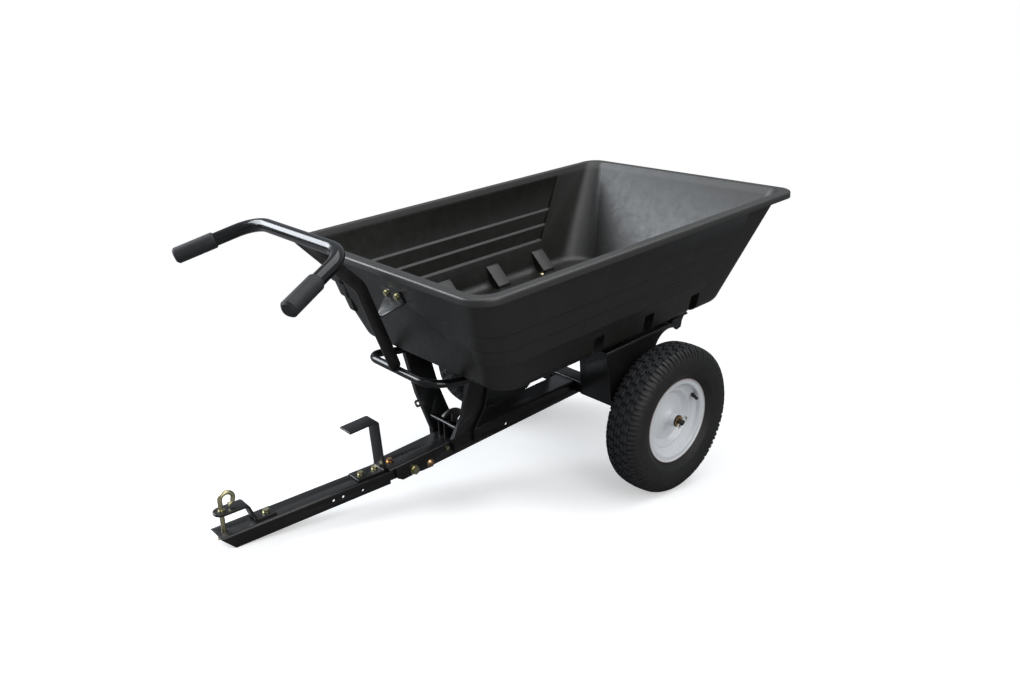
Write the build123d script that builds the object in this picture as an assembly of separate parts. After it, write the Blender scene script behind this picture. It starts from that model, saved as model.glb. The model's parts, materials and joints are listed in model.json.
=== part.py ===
from build123d import *
import os
from math import sin, cos, tan, asin, atan2, radians, degrees, hypot

# Garden cart: a moulded tub on a two-wheel frame with a folding tow tongue.
# All pieces are drawn level, in millimetres: the axle line is the origin, X runs across,
# -Y points to the hitch, Z is up. The whole cart is then pitched until its tongue tip is on the ground.

# ---- wheels ----
TYRE_R = 203.0
TYRE_W = 103.0
TREAD_W = 84.0
TRACK_HALF = 352.0
RIM_FLANGE_R = 114.5
RIM_HALF_W = 34.0
BEAD_R = 102.1
RIM_WELL_R = 86.0
RIM_T = 2.6
HUB_R = 17.0
BUSH_R = 13.0
HUB_IN = 58.0
HUB_OUT = 36.0
AXLE_R = 8.0
CLIP_GAP = 7.0
AXLE_END = 8.0
WASHER_T = 3.0
WASHER_GAP = 0.5
CLIP_TURN = -62.0
RUN = 0.06

# ---- tub ----
WALL = 4.5
FLOOR_Z = 227.0
LIP_Z = 510.0
LIP_DROP = 17.0
LIP_HALF_W = 383.5
LIP_FRONT = -625.0
LIP_REAR = 516.0
LIP_FRONT_R = 66.0
LIP_REAR_R = 50.0
LIP_LEDGE = 21.0
FOOT_HALF_W = 296.0
FOOT_FRONT = -507.0
FOOT_REAR = 330.0
FOOT_FRONT_R = 74.0
FOOT_REAR_R = 92.0
FOOT_ROUND = 32.0
STEP = 7.0
STEP_SMALL = 3.0
STEP_ZS = (315.0, 357.0, 399.0, 490.0)
STEP_END_X = 245.0
STEP_END_X2 = 160.0
STEP_REAR = 146.0
STEP_SLOPE = 5.5
HUMP_YS = (-206.0, -20.0, 167.0)
HUMP_W = 36.0
HUMP_TOP = 288.0
SEAT_R = 11.0
SEAT_DROP = 0.8

# ---- bed pivot and slope ----
PIVOT_Y = 127.0
PIVOT_Z = 204.0
PIVOT_R = 6.0
BED_SLOPE = 0.6

# ---- drawbar ----
BAR_HALF_W = 36.0
BAR_TOP = 15.0
BAR_LOW = -29.0
BAR_T = 3.0
BAR_FRONT = -670.0
BAR_REAR = 22.0

# ---- axle carrier ----
CROSS_Y = 25.0
SIDE_T = 4.0
SIDE_X = TRACK_HALF - HUB_IN - WASHER_T - 2 * WASHER_GAP - SIDE_T
SIDE_FLANGE = 28.0
SIDE_FLANGE_Z = 222.0
SIDE_TOP = 229.0
CROSS_LOW = -18.0

# ---- tongue ----
FOLD_Y = -549.0
FOLD_Z = -20.0
KINK = 4.3
TONGUE_HALF_W = 29.0
TONGUE_TOP = 18.0
TONGUE_LOW = -17.0
TONGUE_T = 3.0
TONGUE_L = 550.0
NOSE_BACK = 29.0
RELIEF_S = 118.0
RELIEF_BACK = 62.0
RELIEF_N = -8.0
LOCK_S = 51.0
LOCK_R = 6.0
LOCK_GAP = 0.4
FOLD_R = 6.0

# ---- bed frame ----
RAIL_X = 135.0
RAIL_R = 10.0
LOOP_Y = -590.0
LOOP_Z = 238.0
LOOP_BEND = 50.0
LOOP_KNEE = -492.0
RAIL_END = 60.0
BRACE_Y = -482.0
BRACE_W = 70.0
BRACE_T = 4.0
BRACE_LIP = 16.0
CATCH_Y = -470.0
CATCH_Z = 52.0
CATCH_R = 5.0
CATCH_GAP = 0.4
HOOK_Y = -444.0
HOOK_Z = 32.0
HOOK_R = 4.0
HOOK_T = 8.0
HOOK_OVER = 18.0
PEDAL_UP = 20.0
HOOK_OPEN = 32.0

# ---- handle ----
TUBE_R = 15.0
GRIP_R = 18.5
BAR_Y = -792.0
BAR_Z = 620.0
BAR_HALF = 186.5
BAR_BEND = 77.0
GRIP_X = 255.5
GRIP_Y = -960.5
GRIP_Z = 570.0
GRIP_L = 89.0
GRIP_WALL = 3.0
STEM_W = 30.0
STEM_T = 6.0
TAB_T = 3.0
SHELF_L = 62.0
SHELF_DROP = 28.0


# ---------------------------------------------------------------- helpers
UPWARD = (Align.CENTER, Align.CENTER, Align.MIN)
DOWNWARD = (Align.CENTER, Align.CENTER, Align.MAX)


def run_x(sketch, x0, x1):
    return extrude(Plane.YZ.offset(x0) * sketch, amount=x1 - x0, dir=(1, 0, 0))


def run_y(sketch, y0, y1):
    return extrude(Plane.XZ.offset(-y1) * sketch, amount=y1 - y0, dir=(0, -1, 0))


def run_z(sketch, z0, z1):
    return extrude(Plane.XY.offset(z0) * sketch, amount=z1 - z0, dir=(0, 0, 1))


def poly(*pts):
    return Polygon(*pts, align=None)


def rod_x(r, x0, x1, y=0.0, z=0.0):
    return Pos(x0, y, z) * Rot(0, 90, 0) * Cylinder(r, x1 - x0, align=UPWARD)


def rod_z(r, z0, z1, x=0.0, y=0.0):
    return Pos(x, y, z0) * Cylinder(r, z1 - z0, align=UPWARD)


def tube_along(points, r, bend):
    path = FilletPolyline(*points, radius=bend)
    start = Plane(origin=path @ 0, z_dir=path % 0)
    return sweep(start * Circle(r), path=path)


def hex_head(r_flat, h):
    return extrude(RegularPolygon(r_flat, 6, major_radius=False), amount=h)


def bolt(r, grip, head_flat, head_h, nut_h, washer_r, washer_t=1.5):
    # axis +Z, underside of the head washer at z=0, the grip runs down to -grip
    shape = Cylinder(r, grip + nut_h + 2 * washer_t + 3, align=DOWNWARD)
    shape = Pos(0, 0, washer_t) * shape
    shape += Cylinder(washer_r, washer_t, align=UPWARD)
    shape += Pos(0, 0, washer_t) * hex_head(head_flat, head_h)
    shape += Pos(0, 0, -grip - washer_t) * Cylinder(washer_r, washer_t, align=UPWARD)
    shape += Pos(0, 0, -grip - washer_t - nut_h) * hex_head(head_flat, nut_h)
    return shape


def channel(half_w, top, low, t, y0, y1):
    outer = poly((-half_w, low), (half_w, low), (half_w, top), (-half_w, top))
    outer = fillet(outer.vertices().filter_by_position(Axis.Y, top - 1, top + 1), 5.0)
    inner = poly((-half_w + t, low - 1), (half_w - t, low - 1), (half_w - t, top - t), (-half_w + t, top - t))
    inner = fillet(inner.vertices().filter_by_position(Axis.Y, top - t - 1, top - t + 1), 5.0 - t)
    return run_y(outer - inner, y0, y1)


def lerp(a, b, f):
    return a + (b - a) * f


def bed(shape):
    # the bed lies turned a little about its pivot line
    return Pos(0, PIVOT_Y, PIVOT_Z) * Rot(-BED_SLOPE, 0, 0) * Pos(0, -PIVOT_Y, -PIVOT_Z) * shape


def bed_height(z, y):
    return z + (PIVOT_Y - y) * tan(radians(BED_SLOPE))


# ---------------------------------------------------------------- tub


def wall_plan(z, out):
    f = (z - FLOOR_Z) / (LIP_Z - FLOOR_Z)
    half = lerp(FOOT_HALF_W, LIP_HALF_W - LIP_LEDGE, f) + out
    front = lerp(FOOT_FRONT, LIP_FRONT + LIP_LEDGE, f) - out
    rear = lerp(FOOT_REAR, LIP_REAR - LIP_LEDGE, f) + out
    r_front = lerp(FOOT_FRONT_R, LIP_FRONT_R - LIP_LEDGE * 0.6, f) + out
    r_rear = lerp(FOOT_REAR_R, LIP_REAR_R, f) + out
    return round_plan(half, front, rear, r_front, r_rear)


def round_plan(half, front, rear, r_front, r_rear):
    plan = poly((-half, front), (half, front), (half, rear), (-half, rear))
    plan = fillet(plan.vertices().filter_by_position(Axis.Y, front - 1, front + 1), r_front)
    plan = fillet(plan.vertices().filter_by_position(Axis.Y, rear - 1, rear + 1), r_rear)
    return plan


def wall_loft(z0, out0, z1, out1):
    low = Plane.XY.offset(z0) * wall_plan(z0, out0)
    high = Plane.XY.offset(z1) * wall_plan(z1, out1)
    return loft([low, high], ruled=True)


def round_foot(shape, z, r):
    edges = shape.edges().filter_by_position(Axis.Z, z - 0.1, z + 0.1)
    return fillet(edges, r)


def step_zone(end_x, inner_x, grow):
    # plan area of the stepped panels on the +X side, closing at a slant before the rear corner
    rear = STEP_REAR - grow
    near = poly((end_x + grow, -760), (520, -760), (520, rear + 675), (295, rear), (end_x + grow, rear))
    if inner_x:
        near = poly((end_x + grow, -760), (inner_x + grow, -760), (inner_x + grow, -300), (end_x + grow, -300))
    zone = run_z(near, STEP_ZS[0] - 20, LIP_Z)
    return zone + mirror(zone, about=Plane.YZ)


def steps(out, rise, grow):
    zone = step_zone(STEP_END_X, 0, grow)
    bands = []
    for low, high in zip(STEP_ZS, STEP_ZS[1:]):
        bands.append(wall_loft(low + rise, STEP + out, high + rise, 0.4 + out) & zone)
        bands.append(wall_loft(low + rise - STEP_SLOPE, 0.4 + out, low + rise, STEP + out) & zone)
    small = step_zone(STEP_END_X2, STEP_END_X, grow)
    bands.append(wall_loft(STEP_ZS[1] + rise, STEP_SMALL + out, STEP_ZS[2] + rise, 0.4 + out) & small)
    return bands


def hump(grow):
    # recess under each side wall, seen inside as a rounded hump at the foot of the wall
    section = poly((345, 205), (345, HUMP_TOP), (308, HUMP_TOP), (256, 238), (252, 205))
    corner = section.vertices().sort_by_distance(Vertex(308, HUMP_TOP, 0))[0]
    section = fillet(corner, 26)
    if grow:
        section = offset(section, grow, kind=Kind.ARC)
    half = HUMP_W / 2 + grow
    body = Compound([run_y(section, y - half, y + half) for y in HUMP_YS])
    return body.solids()


def make_tub():
    outer = round_foot(wall_loft(FLOOR_Z, 0, LIP_Z - 2, 0), FLOOR_Z, FOOT_ROUND)
    for band in steps(0, 0, 0):
        outer += band
    rim = round_plan(LIP_HALF_W, LIP_FRONT, LIP_REAR, LIP_FRONT_R, LIP_REAR_R)
    lip = run_z(rim, LIP_Z - LIP_DROP, LIP_Z)
    lip = fillet(lip.edges().filter_by_position(Axis.Z, LIP_Z - 0.1, LIP_Z + 0.1), 6.0)
    g = WALL - 0.5
    under = run_z(round_plan(LIP_HALF_W - g, LIP_FRONT + g, LIP_REAR - g, LIP_FRONT_R - g, LIP_REAR_R - g),
                  LIP_Z - LIP_DROP - 1, LIP_Z - g)
    under -= wall_loft(FLOOR_Z, 0, LIP_Z + 20, 0)
    inner = round_foot(wall_loft(FLOOR_Z + WALL, -WALL, LIP_Z + 12, -WALL), FLOOR_Z + WALL, FOOT_ROUND - WALL)
    for band in steps(-WALL, WALL, WALL):
        inner += band
    for piece in hump(0):
        outer -= piece
        outer -= mirror(piece, about=Plane.YZ)
    for piece in hump(WALL):
        inner -= piece
        inner -= mirror(piece, about=Plane.YZ)
    return outer + (lip - under) - inner


FLOOR_BOLTS = [(SIDE_X - 31, 138.0), (SIDE_X - 76, 138.0), (RAIL_X, -395.0), (RAIL_X, 30.0)]
TAB_BOLT_X = 21.0
TAB_BOLT_Z = 429.0


def front_wall_y(z):
    return lerp(FOOT_FRONT, LIP_FRONT + LIP_LEDGE, (z - FLOOR_Z) / (LIP_Z - FLOOR_Z))


FRONT_LEAN = degrees(atan2(FOOT_FRONT - LIP_FRONT - LIP_LEDGE, LIP_Z - FLOOR_Z))
# frame of the front wall's outer face at the tab bolts: local Z points out of the wall
TAB_PLACE = Pos(0, front_wall_y(TAB_BOLT_Z), TAB_BOLT_Z) * Rot(90 + FRONT_LEAN, 0, 0)


def tub_with_holes():
    body = make_tub()
    for x, y in FLOOR_BOLTS:
        for side in (-1, 1):
            body -= rod_z(4.2, FLOOR_Z - 5, FLOOR_Z + 12, side * x, y)
            body -= rod_z(SEAT_R, FLOOR_Z + WALL - SEAT_DROP, FLOOR_Z + 12, side * x, y)
    for side in (-1, 1):
        body -= TAB_PLACE * Pos(side * TAB_BOLT_X, 0, 0) * Cylinder(4.2, 40)
    return body


def floor_bolts():
    # round-headed bolts through the floor, with washers and nuts below
    group = []
    for x, y in FLOOR_BOLTS:
        drop = 2 * RAIL_R - 1.5 if x == RAIL_X else BRACKET_T
        for side in (-1, 1):
            top = FLOOR_Z + WALL - SEAT_DROP
            shape = rod_z(4.0, FLOOR_Z - drop - 10, top, side * x, y)
            shape += Pos(side * x, y, top) * dome(8.0, 4.0)
            shape += Pos(side * x, y, FLOOR_Z - drop - 7.5) * hex_head(6.5, 6.0)
            shape += rod_z(8.5, FLOOR_Z - drop - 1.5, FLOOR_Z - drop, side * x, y)
            group.append(shape)
    return group


def dome(r, h):
    ball = (r * r + h * h) / (2 * h)
    cap = Pos(0, 0, h - ball) * Sphere(ball)
    return cap & Cylinder(r, h, align=UPWARD)


# ---------------------------------------------------------------- bed frame
BRACKET_T = 4.0
BRACKET_GAP = 3.0


def make_under_frame():
    # bent tube: raised loop in front, two rails under the floor
    z = FLOOR_Z - RAIL_R
    right = [(RAIL_X, RAIL_END, z), (RAIL_X, LOOP_KNEE, z), (RAIL_X, LOOP_Y, LOOP_Z)]
    left = [(-x, y, h) for x, y, h in right[::-1]]
    frame = tube_along(right + left, RAIL_R, LOOP_BEND)
    for side in (-1, 1):
        for x, y in FLOOR_BOLTS[2:]:
            frame -= rod_z(4.2, FLOOR_Z - 30, FLOOR_Z + 1, side * x, y)
            frame -= rod_z(9.5, FLOOR_Z - 30, FLOOR_Z - 2 * RAIL_R + 1.5, side * x, y)
    return frame


def hinge_bracket(side):
    edge = SIDE_X - BRACKET_GAP
    plan = poly((edge - 93, 100), (edge, 100), (edge, 170), (edge - 93, 170))
    plate = run_z(plan, FLOOR_Z - BRACKET_T, FLOOR_Z)
    lug = poly((PIVOT_Y - 30, FLOOR_Z), (PIVOT_Y - 13, PIVOT_Z), (PIVOT_Y + 13, PIVOT_Z), (PIVOT_Y + 30, FLOOR_Z))
    lug += Pos(PIVOT_Y, PIVOT_Z) * Circle(13)
    body = plate + run_x(lug, edge - BRACKET_T, edge)
    for x, y in FLOOR_BOLTS[:2]:
        body -= rod_z(4.2, FLOOR_Z - 20, FLOOR_Z + 1, x, y)
    body -= rod_x(PIVOT_R + RUN, edge - 10, edge + 10, PIVOT_Y, PIVOT_Z)
    return body if side > 0 else mirror(body, about=Plane.YZ)


def brace_line(gap):
    # one leaning strip seen from the front: foot, lower lean, upper lean up into the rail
    inner = BAR_HALF_W + 1.0
    top = bed_height(FLOOR_Z - RAIL_R, BRACE_Y)
    return [(inner + gap, -12), (inner + gap, 22), (88 + gap, 106), (126 + gap, top)]


def brace_strip(t, y0, y1):
    return run_y(poly(*(brace_line(0) + brace_line(t)[::-1])), y0, y1)


def make_brace(side):
    # channel-pressed strip with its two flanges turned outward
    body = brace_strip(BRACE_T, BRACE_Y, BRACE_Y + BRACE_W)
    body += brace_strip(BRACE_LIP, BRACE_Y, BRACE_Y + BRACE_T)
    body += brace_strip(BRACE_LIP, BRACE_Y + BRACE_W - BRACE_T, BRACE_Y + BRACE_W)
    body -= bed(Pos(RAIL_X, 0, FLOOR_Z - RAIL_R) * Rot(90, 0, 0) * Cylinder(RAIL_R, 1500))
    body -= run_z(poly((0, -600), (300, -600), (300, -300), (0, -300)), bed_height(FLOOR_Z - RAIL_R, 0), 400)
    body -= rod_x(CATCH_R, 20, 120, CATCH_Y, CATCH_Z)
    body = body.solids().sort_by(SortBy.VOLUME)[-1]
    return body if side > 0 else mirror(body, about=Plane.YZ)


def make_lock_tab():
    # small eye plate on the inner face of one brace
    eye = fillet((Pos(-488, 88) * Rectangle(28, 20)).vertices(), 6)
    plate = run_x(eye - Pos(-493, 88) * Circle(4), 0, 3)
    lean = degrees(atan2(88 - BAR_HALF_W - 1, 84))
    x = lerp(BAR_HALF_W + 1, 88, (88 - 22) / 84)
    plate = Pos(0, 0, 88) * Rot(0, lean, 0) * Pos(-3, 0, -88) * plate
    return mirror(Pos(x, 0, 0) * plate, about=Plane.YZ)


def make_catch_pin():
    # cross pin of the two braces that the latch hooks over
    edge = lerp(BAR_HALF_W + 1, 88, (CATCH_Z - 22) / 84) + BRACE_T
    return rod_x(CATCH_R, -edge - 5, edge + 5, CATCH_Y, CATCH_Z)


# ---------------------------------------------------------------- handle
def grip_frame():
    # local Z runs along the arm from the grip's outer end towards the crossbar
    start = Vector(GRIP_X, GRIP_Y, GRIP_Z)
    return Plane(origin=start, z_dir=Vector(BAR_HALF, BAR_Y, BAR_Z) - start)


def make_handle_bar():
    tip = grip_frame().location * Pos(0, 0, GRIP_WALL)
    end = tip.position
    right = [(end.X, end.Y, end.Z), (BAR_HALF, BAR_Y, BAR_Z)]
    left = [(-x, y, z) for x, y, z in right[::-1]]
    return tube_along(right + left, TUBE_R, BAR_BEND)


def make_grip(side):
    profile = poly((0, -5), (GRIP_R - 5, -5), (GRIP_R, 0), (GRIP_R, GRIP_L - 3),
                   (GRIP_R - 2, GRIP_L), (0, GRIP_L))
    body = revolve(Plane.XZ * profile, axis=Axis.Z)
    body -= Pos(0, 0, GRIP_WALL) * Cylinder(TUBE_R, GRIP_L + 10, align=UPWARD)
    placed = grip_frame().location * body
    return placed if side > 0 else mirror(placed, about=Plane.YZ)


STEM_LINE = [(BAR_Y + 5, BAR_Z - 6), (-661.0, 470.0), (-595.0, LOOP_Z + 14)]


def stem_blank():
    path = FilletPolyline(*[Vector(y, z) for y, z in STEM_LINE], radius=60)
    face = make_face(offset(path, STEM_W / 2, side=Side.BOTH, kind=Kind.ARC))
    return run_x(face, -STEM_T / 2, STEM_T / 2)


def make_stem():
    bar = stem_blank()
    bar -= rod_x(TUBE_R, -10, 10, BAR_Y, BAR_Z)
    bar -= rod_x(RAIL_R, -10, 10, LOOP_Y, LOOP_Z)
    return bar.solids().sort_by(SortBy.VOLUME)[-1]


def make_stem_bracket():
    # tab bolted on the front wall, bent out to a tapered shelf welded to the stem
    tab = extrude(fillet(Rectangle(80, 32).vertices(), 5), amount=TAB_T)
    tab = TAB_PLACE * tab
    for side in (-1, 1):
        tab -= TAB_PLACE * Pos(side * TAB_BOLT_X, 0, 0) * Cylinder(4.2, 40)
    low = TAB_BOLT_Z - 14.5
    y_wall = front_wall_y(low) - 0.8
    plan = poly((38, 0), (38, 5), (STEM_T, SHELF_L), (-STEM_T, SHELF_L), (-38, 5), (-38, 0))
    shelf = Pos(0, y_wall, low) * Rot(180 + SHELF_DROP, 0, 0) * extrude(plan, amount=TAB_T, dir=(0, 0, 1))
    body = tab + shelf - stem_blank()
    return body.solids().sort_by(SortBy.VOLUME)[-1]


def tab_bolts():
    group = []
    for side in (-1, 1):
        shape = bolt(4.0, WALL + TAB_T, 6.5, 5.5, 6.0, 8.5)
        group.append(TAB_PLACE * Pos(side * TAB_BOLT_X, 0, TAB_T) * shape)
    return group


# ---------------------------------------------------------------- drawbar and axle carrier
EAR_X = 12.0


def make_drawbar():
    body = channel(BAR_HALF_W, BAR_TOP, BAR_LOW, BAR_T, BAR_FRONT, BAR_REAR)
    cut = poly((BAR_FRONT - 5, BAR_TOP - BAR_T), (BAR_FRONT + 16, BAR_TOP - BAR_T), (BAR_FRONT + 20, -19),
               (BAR_FRONT + 36, BAR_LOW - 1), (BAR_FRONT - 5, BAR_LOW - 1))
    body -= run_x(cut, -60, 60)
    ear = poly((HOOK_Y + 12, BAR_TOP), (HOOK_Y + 12, HOOK_Z + 6), (HOOK_Y + 2, HOOK_Z + 12),
               (CATCH_Y + 9, CATCH_Z + 4), (CATCH_Y - 9, CATCH_Z + 4), (CATCH_Y - 12, BAR_TOP))
    gap = CATCH_R + CATCH_GAP
    seat = Pos(CATCH_Y, CATCH_Z) * Circle(gap)
    seat += poly((CATCH_Y - gap, CATCH_Z), (CATCH_Y + gap, CATCH_Z),
                 (CATCH_Y + gap + 4, CATCH_Z + 20), (CATCH_Y - gap - 4, CATCH_Z + 20))
    for side in (-1, 1):
        body += run_x(ear - seat, side * EAR_X - 2, side * EAR_X + 2)
    body -= rod_x(FOLD_R + RUN, -50, 50, FOLD_Y, FOLD_Z)
    body -= run_x(lock_slot(), -50, 50)
    body -= rod_x(4.0, -50, 50, -293, -15)
    body -= rod_x(3.0, 0, 50, ANCHOR_Y, ANCHOR_Z)
    body -= rod_x(HOOK_R, -20, 20, HOOK_Y, HOOK_Z)
    for y in (-606, -594):
        body -= rod_z(2.5, 5, 30, 0, y)
    body -= rod_z(4.0, 5, 30, 0, STOP_Y)
    body -= rod_x(AXLE_R, -50, 50)
    return body


STOP_Y = -646.0
ANCHOR_Y = -494.0
ANCHOR_Z = 0.0


def make_cross():
    # inverted channel laid over the drawbar between the side plates
    t = BAR_T
    top = BAR_TOP + t
    box = poly((-CROSS_Y, CROSS_LOW), (CROSS_Y, CROSS_LOW), (CROSS_Y, top), (-CROSS_Y, top))
    box = fillet(box.vertices().filter_by_position(Axis.Y, top - 1, top + 1), 5.0)
    wall = CROSS_Y - t
    hollow = poly((-wall, CROSS_LOW - 1), (wall, CROSS_LOW - 1), (wall, BAR_TOP), (-wall, BAR_TOP))
    hollow = fillet(hollow.vertices().filter_by_position(Axis.Y, BAR_TOP - 1, BAR_TOP + 1), 5.0 - t)
    body = run_x(box - hollow, -SIDE_X, SIDE_X)
    saddle = poly((-BAR_HALF_W, -60), (BAR_HALF_W, -60), (BAR_HALF_W, BAR_TOP), (-BAR_HALF_W, BAR_TOP))
    return body - run_y(saddle, -CROSS_Y - 1, CROSS_Y + 1)


def side_plate(side):
    # upright with an arch over the hub side, its front part flanged inwards under the tub
    top = SIDE_FLANGE_Z
    rear = PIVOT_Y + 11
    outline = poly((-30, -25), (-150, 85), (-160, top - 5), (92, top - 5), (100, SIDE_TOP), (112, SIDE_TOP),
                   (rear, top - 1), (rear - 6, 198.5), (102, 207), (102, 100), (33, 100), (33, -25))
    outline -= Pos(80, 150) * Circle(60)
    body = run_x(outline, SIDE_X, SIDE_X + SIDE_T)
    body = body.solids().sort_by(SortBy.VOLUME)[-1]
    out = SIDE_X + SIDE_T
    inner = SIDE_X - SIDE_FLANGE
    flange = poly((inner, top - 4), (SIDE_X, top - 4), (SIDE_X, top - 8), (out, top - 8),
                  (out, top), (inner, top))
    flange = fillet(flange.vertices().sort_by_distance(Vertex(out, top, 0))[0], 3.5)
    body += run_y(flange, -160, 92)
    body -= rod_x(AXLE_R, SIDE_X - 10, SIDE_X + 10)
    body -= rod_x(PIVOT_R, SIDE_X - 10, SIDE_X + 10, PIVOT_Y, PIVOT_Z)
    return body if side > 0 else mirror(body, about=Plane.YZ)


WING_IN = 62.0
WING_T = 4.0


def make_wing(side):
    # upright plate on the carrier's front face, from beside the drawbar out to the side plate
    low = FLOOR_Z - 2 * RAIL_R - 5
    high = SIDE_FLANGE_Z - 6
    shoulder = RAIL_X + 2 * RAIL_R
    face = poly((WING_IN, CROSS_LOW), (SIDE_X, CROSS_LOW), (SIDE_X, high), (SIDE_X - SIDE_FLANGE, high),
                (shoulder, low), (WING_IN, low))
    web = run_y(face, -CROSS_Y - WING_T, -CROSS_Y)
    return web if side > 0 else mirror(web, about=Plane.YZ)


def make_axle():
    half = CLIP_X + AXLE_END
    rod = rod_x(AXLE_R, -half, half)
    rod = chamfer(rod.edges().filter_by(GeomType.CIRCLE), 1.2)
    for side in (-1, 1):
        rod -= Pos(side * CLIP_X, 0, 0) * Rot(CLIP_TURN, 0, 0) * Cylinder(2.0, 40)
    return rod


CLIP_X = TRACK_HALF + HUB_OUT + CLIP_GAP


def axle_washers():
    group = []
    for side in (-1, 1):
        for x in (HUB_OUT + WASHER_GAP, -HUB_IN - WASHER_GAP - WASHER_T):
            a = side * (TRACK_HALF + x)
            b = side * (TRACK_HALF + x + WASHER_T)
            ring = rod_x(14.0, min(a, b), max(a, b)) - rod_x(AXLE_R, -500, 500)
            group.append(ring)
    return group


def clip(rod_r, wire, drop, ring_r):
    # spring clip: one straight leg through the rod, the other bowed round it from a ring above
    top = rod_r + 3 * wire + 2
    leg = Pos(0, 0, -drop) * Cylinder(wire, drop + top, align=UPWARD)
    ring = Pos(0, ring_r, top) * Rot(0, 90, 0) * Torus(ring_r, wire)
    ring &= Pos(0, ring_r, top + 50) * Box(100, 100, 100)
    near = rod_r + wire + 0.4
    line = [(0, 2 * ring_r, top), (0, near, 0), (0, near + 3.5, -drop)]
    bow = Spline(*line, tangents=((0, 0, -1), (0, 0.45, -1)))
    arm = sweep(Plane(origin=bow @ 0, z_dir=bow % 0) * Circle(wire), path=bow)
    return leg + ring + arm


def axle_clips():
    base = clip(AXLE_R, 2.0, 14.0, 7.0)
    return [Pos(side * CLIP_X, 0, 0) * Rot(CLIP_TURN, 0, 0) * base for side in (-1, 1)]


def make_pivot_rod():
    # cross rod set flush in the two side plates
    return rod_x(PIVOT_R, -SIDE_X - SIDE_T, SIDE_X + SIDE_T, PIVOT_Y, PIVOT_Z)


# ---------------------------------------------------------------- tongue
def tongue_to_frame(s, n):
    # s along the tongue from the fold pin, n square to it
    k = radians(KINK)
    return FOLD_Y - s * cos(k) + n * sin(k), FOLD_Z + s * sin(k) + n * cos(k)


TONGUE_PLACE = Pos(0, FOLD_Y, FOLD_Z) * Rot(-KINK, 0, 0)
STRAP_W = 45.0
STRAP_T = 5.0
STRAP_Y = -128.0
STRAP_H = 136.0
STRAP_TOP_L = 76.0
PIN_S = 532.0
PIN_R = 5.2
STRAP_BOLTS = (-144.0, -184.0)


def make_tongue():
    body = channel(TONGUE_HALF_W, TONGUE_TOP, TONGUE_LOW, TONGUE_T, -TONGUE_L, 17)
    tip = -TONGUE_L
    nose = poly((tip - 1, TONGUE_TOP - 4), (tip, TONGUE_TOP - 4), (tip + NOSE_BACK, TONGUE_LOW),
                (tip + NOSE_BACK, TONGUE_LOW - 1), (tip - 1, TONGUE_LOW - 1))
    body -= run_x(nose, -60, 60)
    heel = poly((0, TONGUE_LOW - 1), (20, TONGUE_LOW - 1), (20, 30), (0, 30)) - Circle(20)
    body -= run_x(heel, -60, 60)
    low = TONGUE_LOW - 1
    relief = poly((-RELIEF_S, low), (-RELIEF_S, RELIEF_N), (-RELIEF_BACK, RELIEF_N), (-20, low))
    body -= run_x(relief, -60, 60)
    body -= rod_x(FOLD_R + RUN, -50, 50)
    body -= Pos(0, -LOCK_S, 0) * rod_x(LOCK_R, -50, 50)
    for s in (251.0, 277.0):
        body -= Pos(0, -s, 0) * rod_x(3.5, -50, 50)
    body -= Pos(0, -197, -4) * rod_x(3.0, -50, 50)
    for y in STRAP_BOLTS:
        body -= rod_z(4.2, 5, 30, 0, y)
    body -= rod_z(4.2, 5, 30, 0, HITCH_BOLT_Y)
    body -= rod_z(PIN_R + 0.1, 5, 30, 0, -PIN_S)
    return body


def make_stand():
    # strap bent to a step on the tongue; folded under, its flat end is the parking foot
    z0 = TONGUE_TOP
    y = STRAP_Y
    lean = STRAP_H * tan(radians(KINK))
    end = z0 + STRAP_H - STRAP_TOP_L * tan(radians(KINK))
    line = [(y - 74, z0), (y, z0), (y - lean, z0 + STRAP_H), (y - lean - STRAP_TOP_L, end)]
    path = FilletPolyline(*[Vector(a, b + STRAP_T / 2) for a, b in line], radius=7)
    face = make_face(offset(path, STRAP_T / 2, side=Side.BOTH, kind=Kind.ARC))
    body = run_x(face, -STRAP_W / 2, STRAP_W / 2)
    for yb in STRAP_BOLTS:
        body -= rod_z(4.2, z0 - 1, z0 + 20, 0, yb)
    return body


def stand_bolts():
    group = []
    for y in STRAP_BOLTS:
        group.append(Pos(0, y, TONGUE_TOP + STRAP_T) * bolt(4.0, STRAP_T + TONGUE_T, 6.5, 5.5, 6.0, 8.0))
    return group


HITCH_BOLT_Y = -432.0
HITCH_GAP = 44.0


def make_hitch_strap():
    z0 = TONGUE_TOP
    line = [(-418.0, z0), (-462.0, z0), (-478.0, z0 + HITCH_GAP), (-548.0, z0 + HITCH_GAP)]
    path = FilletPolyline(*[Vector(a, b + 2.5) for a, b in line], radius=8)
    face = make_face(offset(path, 2.5, side=Side.BOTH, kind=Kind.ARC))
    body = run_x(face, -19, 19)
    tip = run_z(Pos(0, -531) * Circle(19) + poly((-19, -531), (19, -531), (19, -400), (-19, -400)), 0, 120)
    body &= tip
    body -= rod_z(4.2, z0 - 1, z0 + 20, 0, HITCH_BOLT_Y)
    body -= rod_z(PIN_R + 0.1, z0 + 20, z0 + 80, 0, -PIN_S)
    return body


def hitch_bolt():
    return Pos(0, HITCH_BOLT_Y, TONGUE_TOP + 5) * bolt(4.0, 5 + TONGUE_T, 6.5, 5.5, 6.0, 8.0)


PIN_TOP = TONGUE_TOP + HITCH_GAP + 29.0
PIN_CURL = 15.0
CLIP_N = TONGUE_TOP - 12.0


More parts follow.
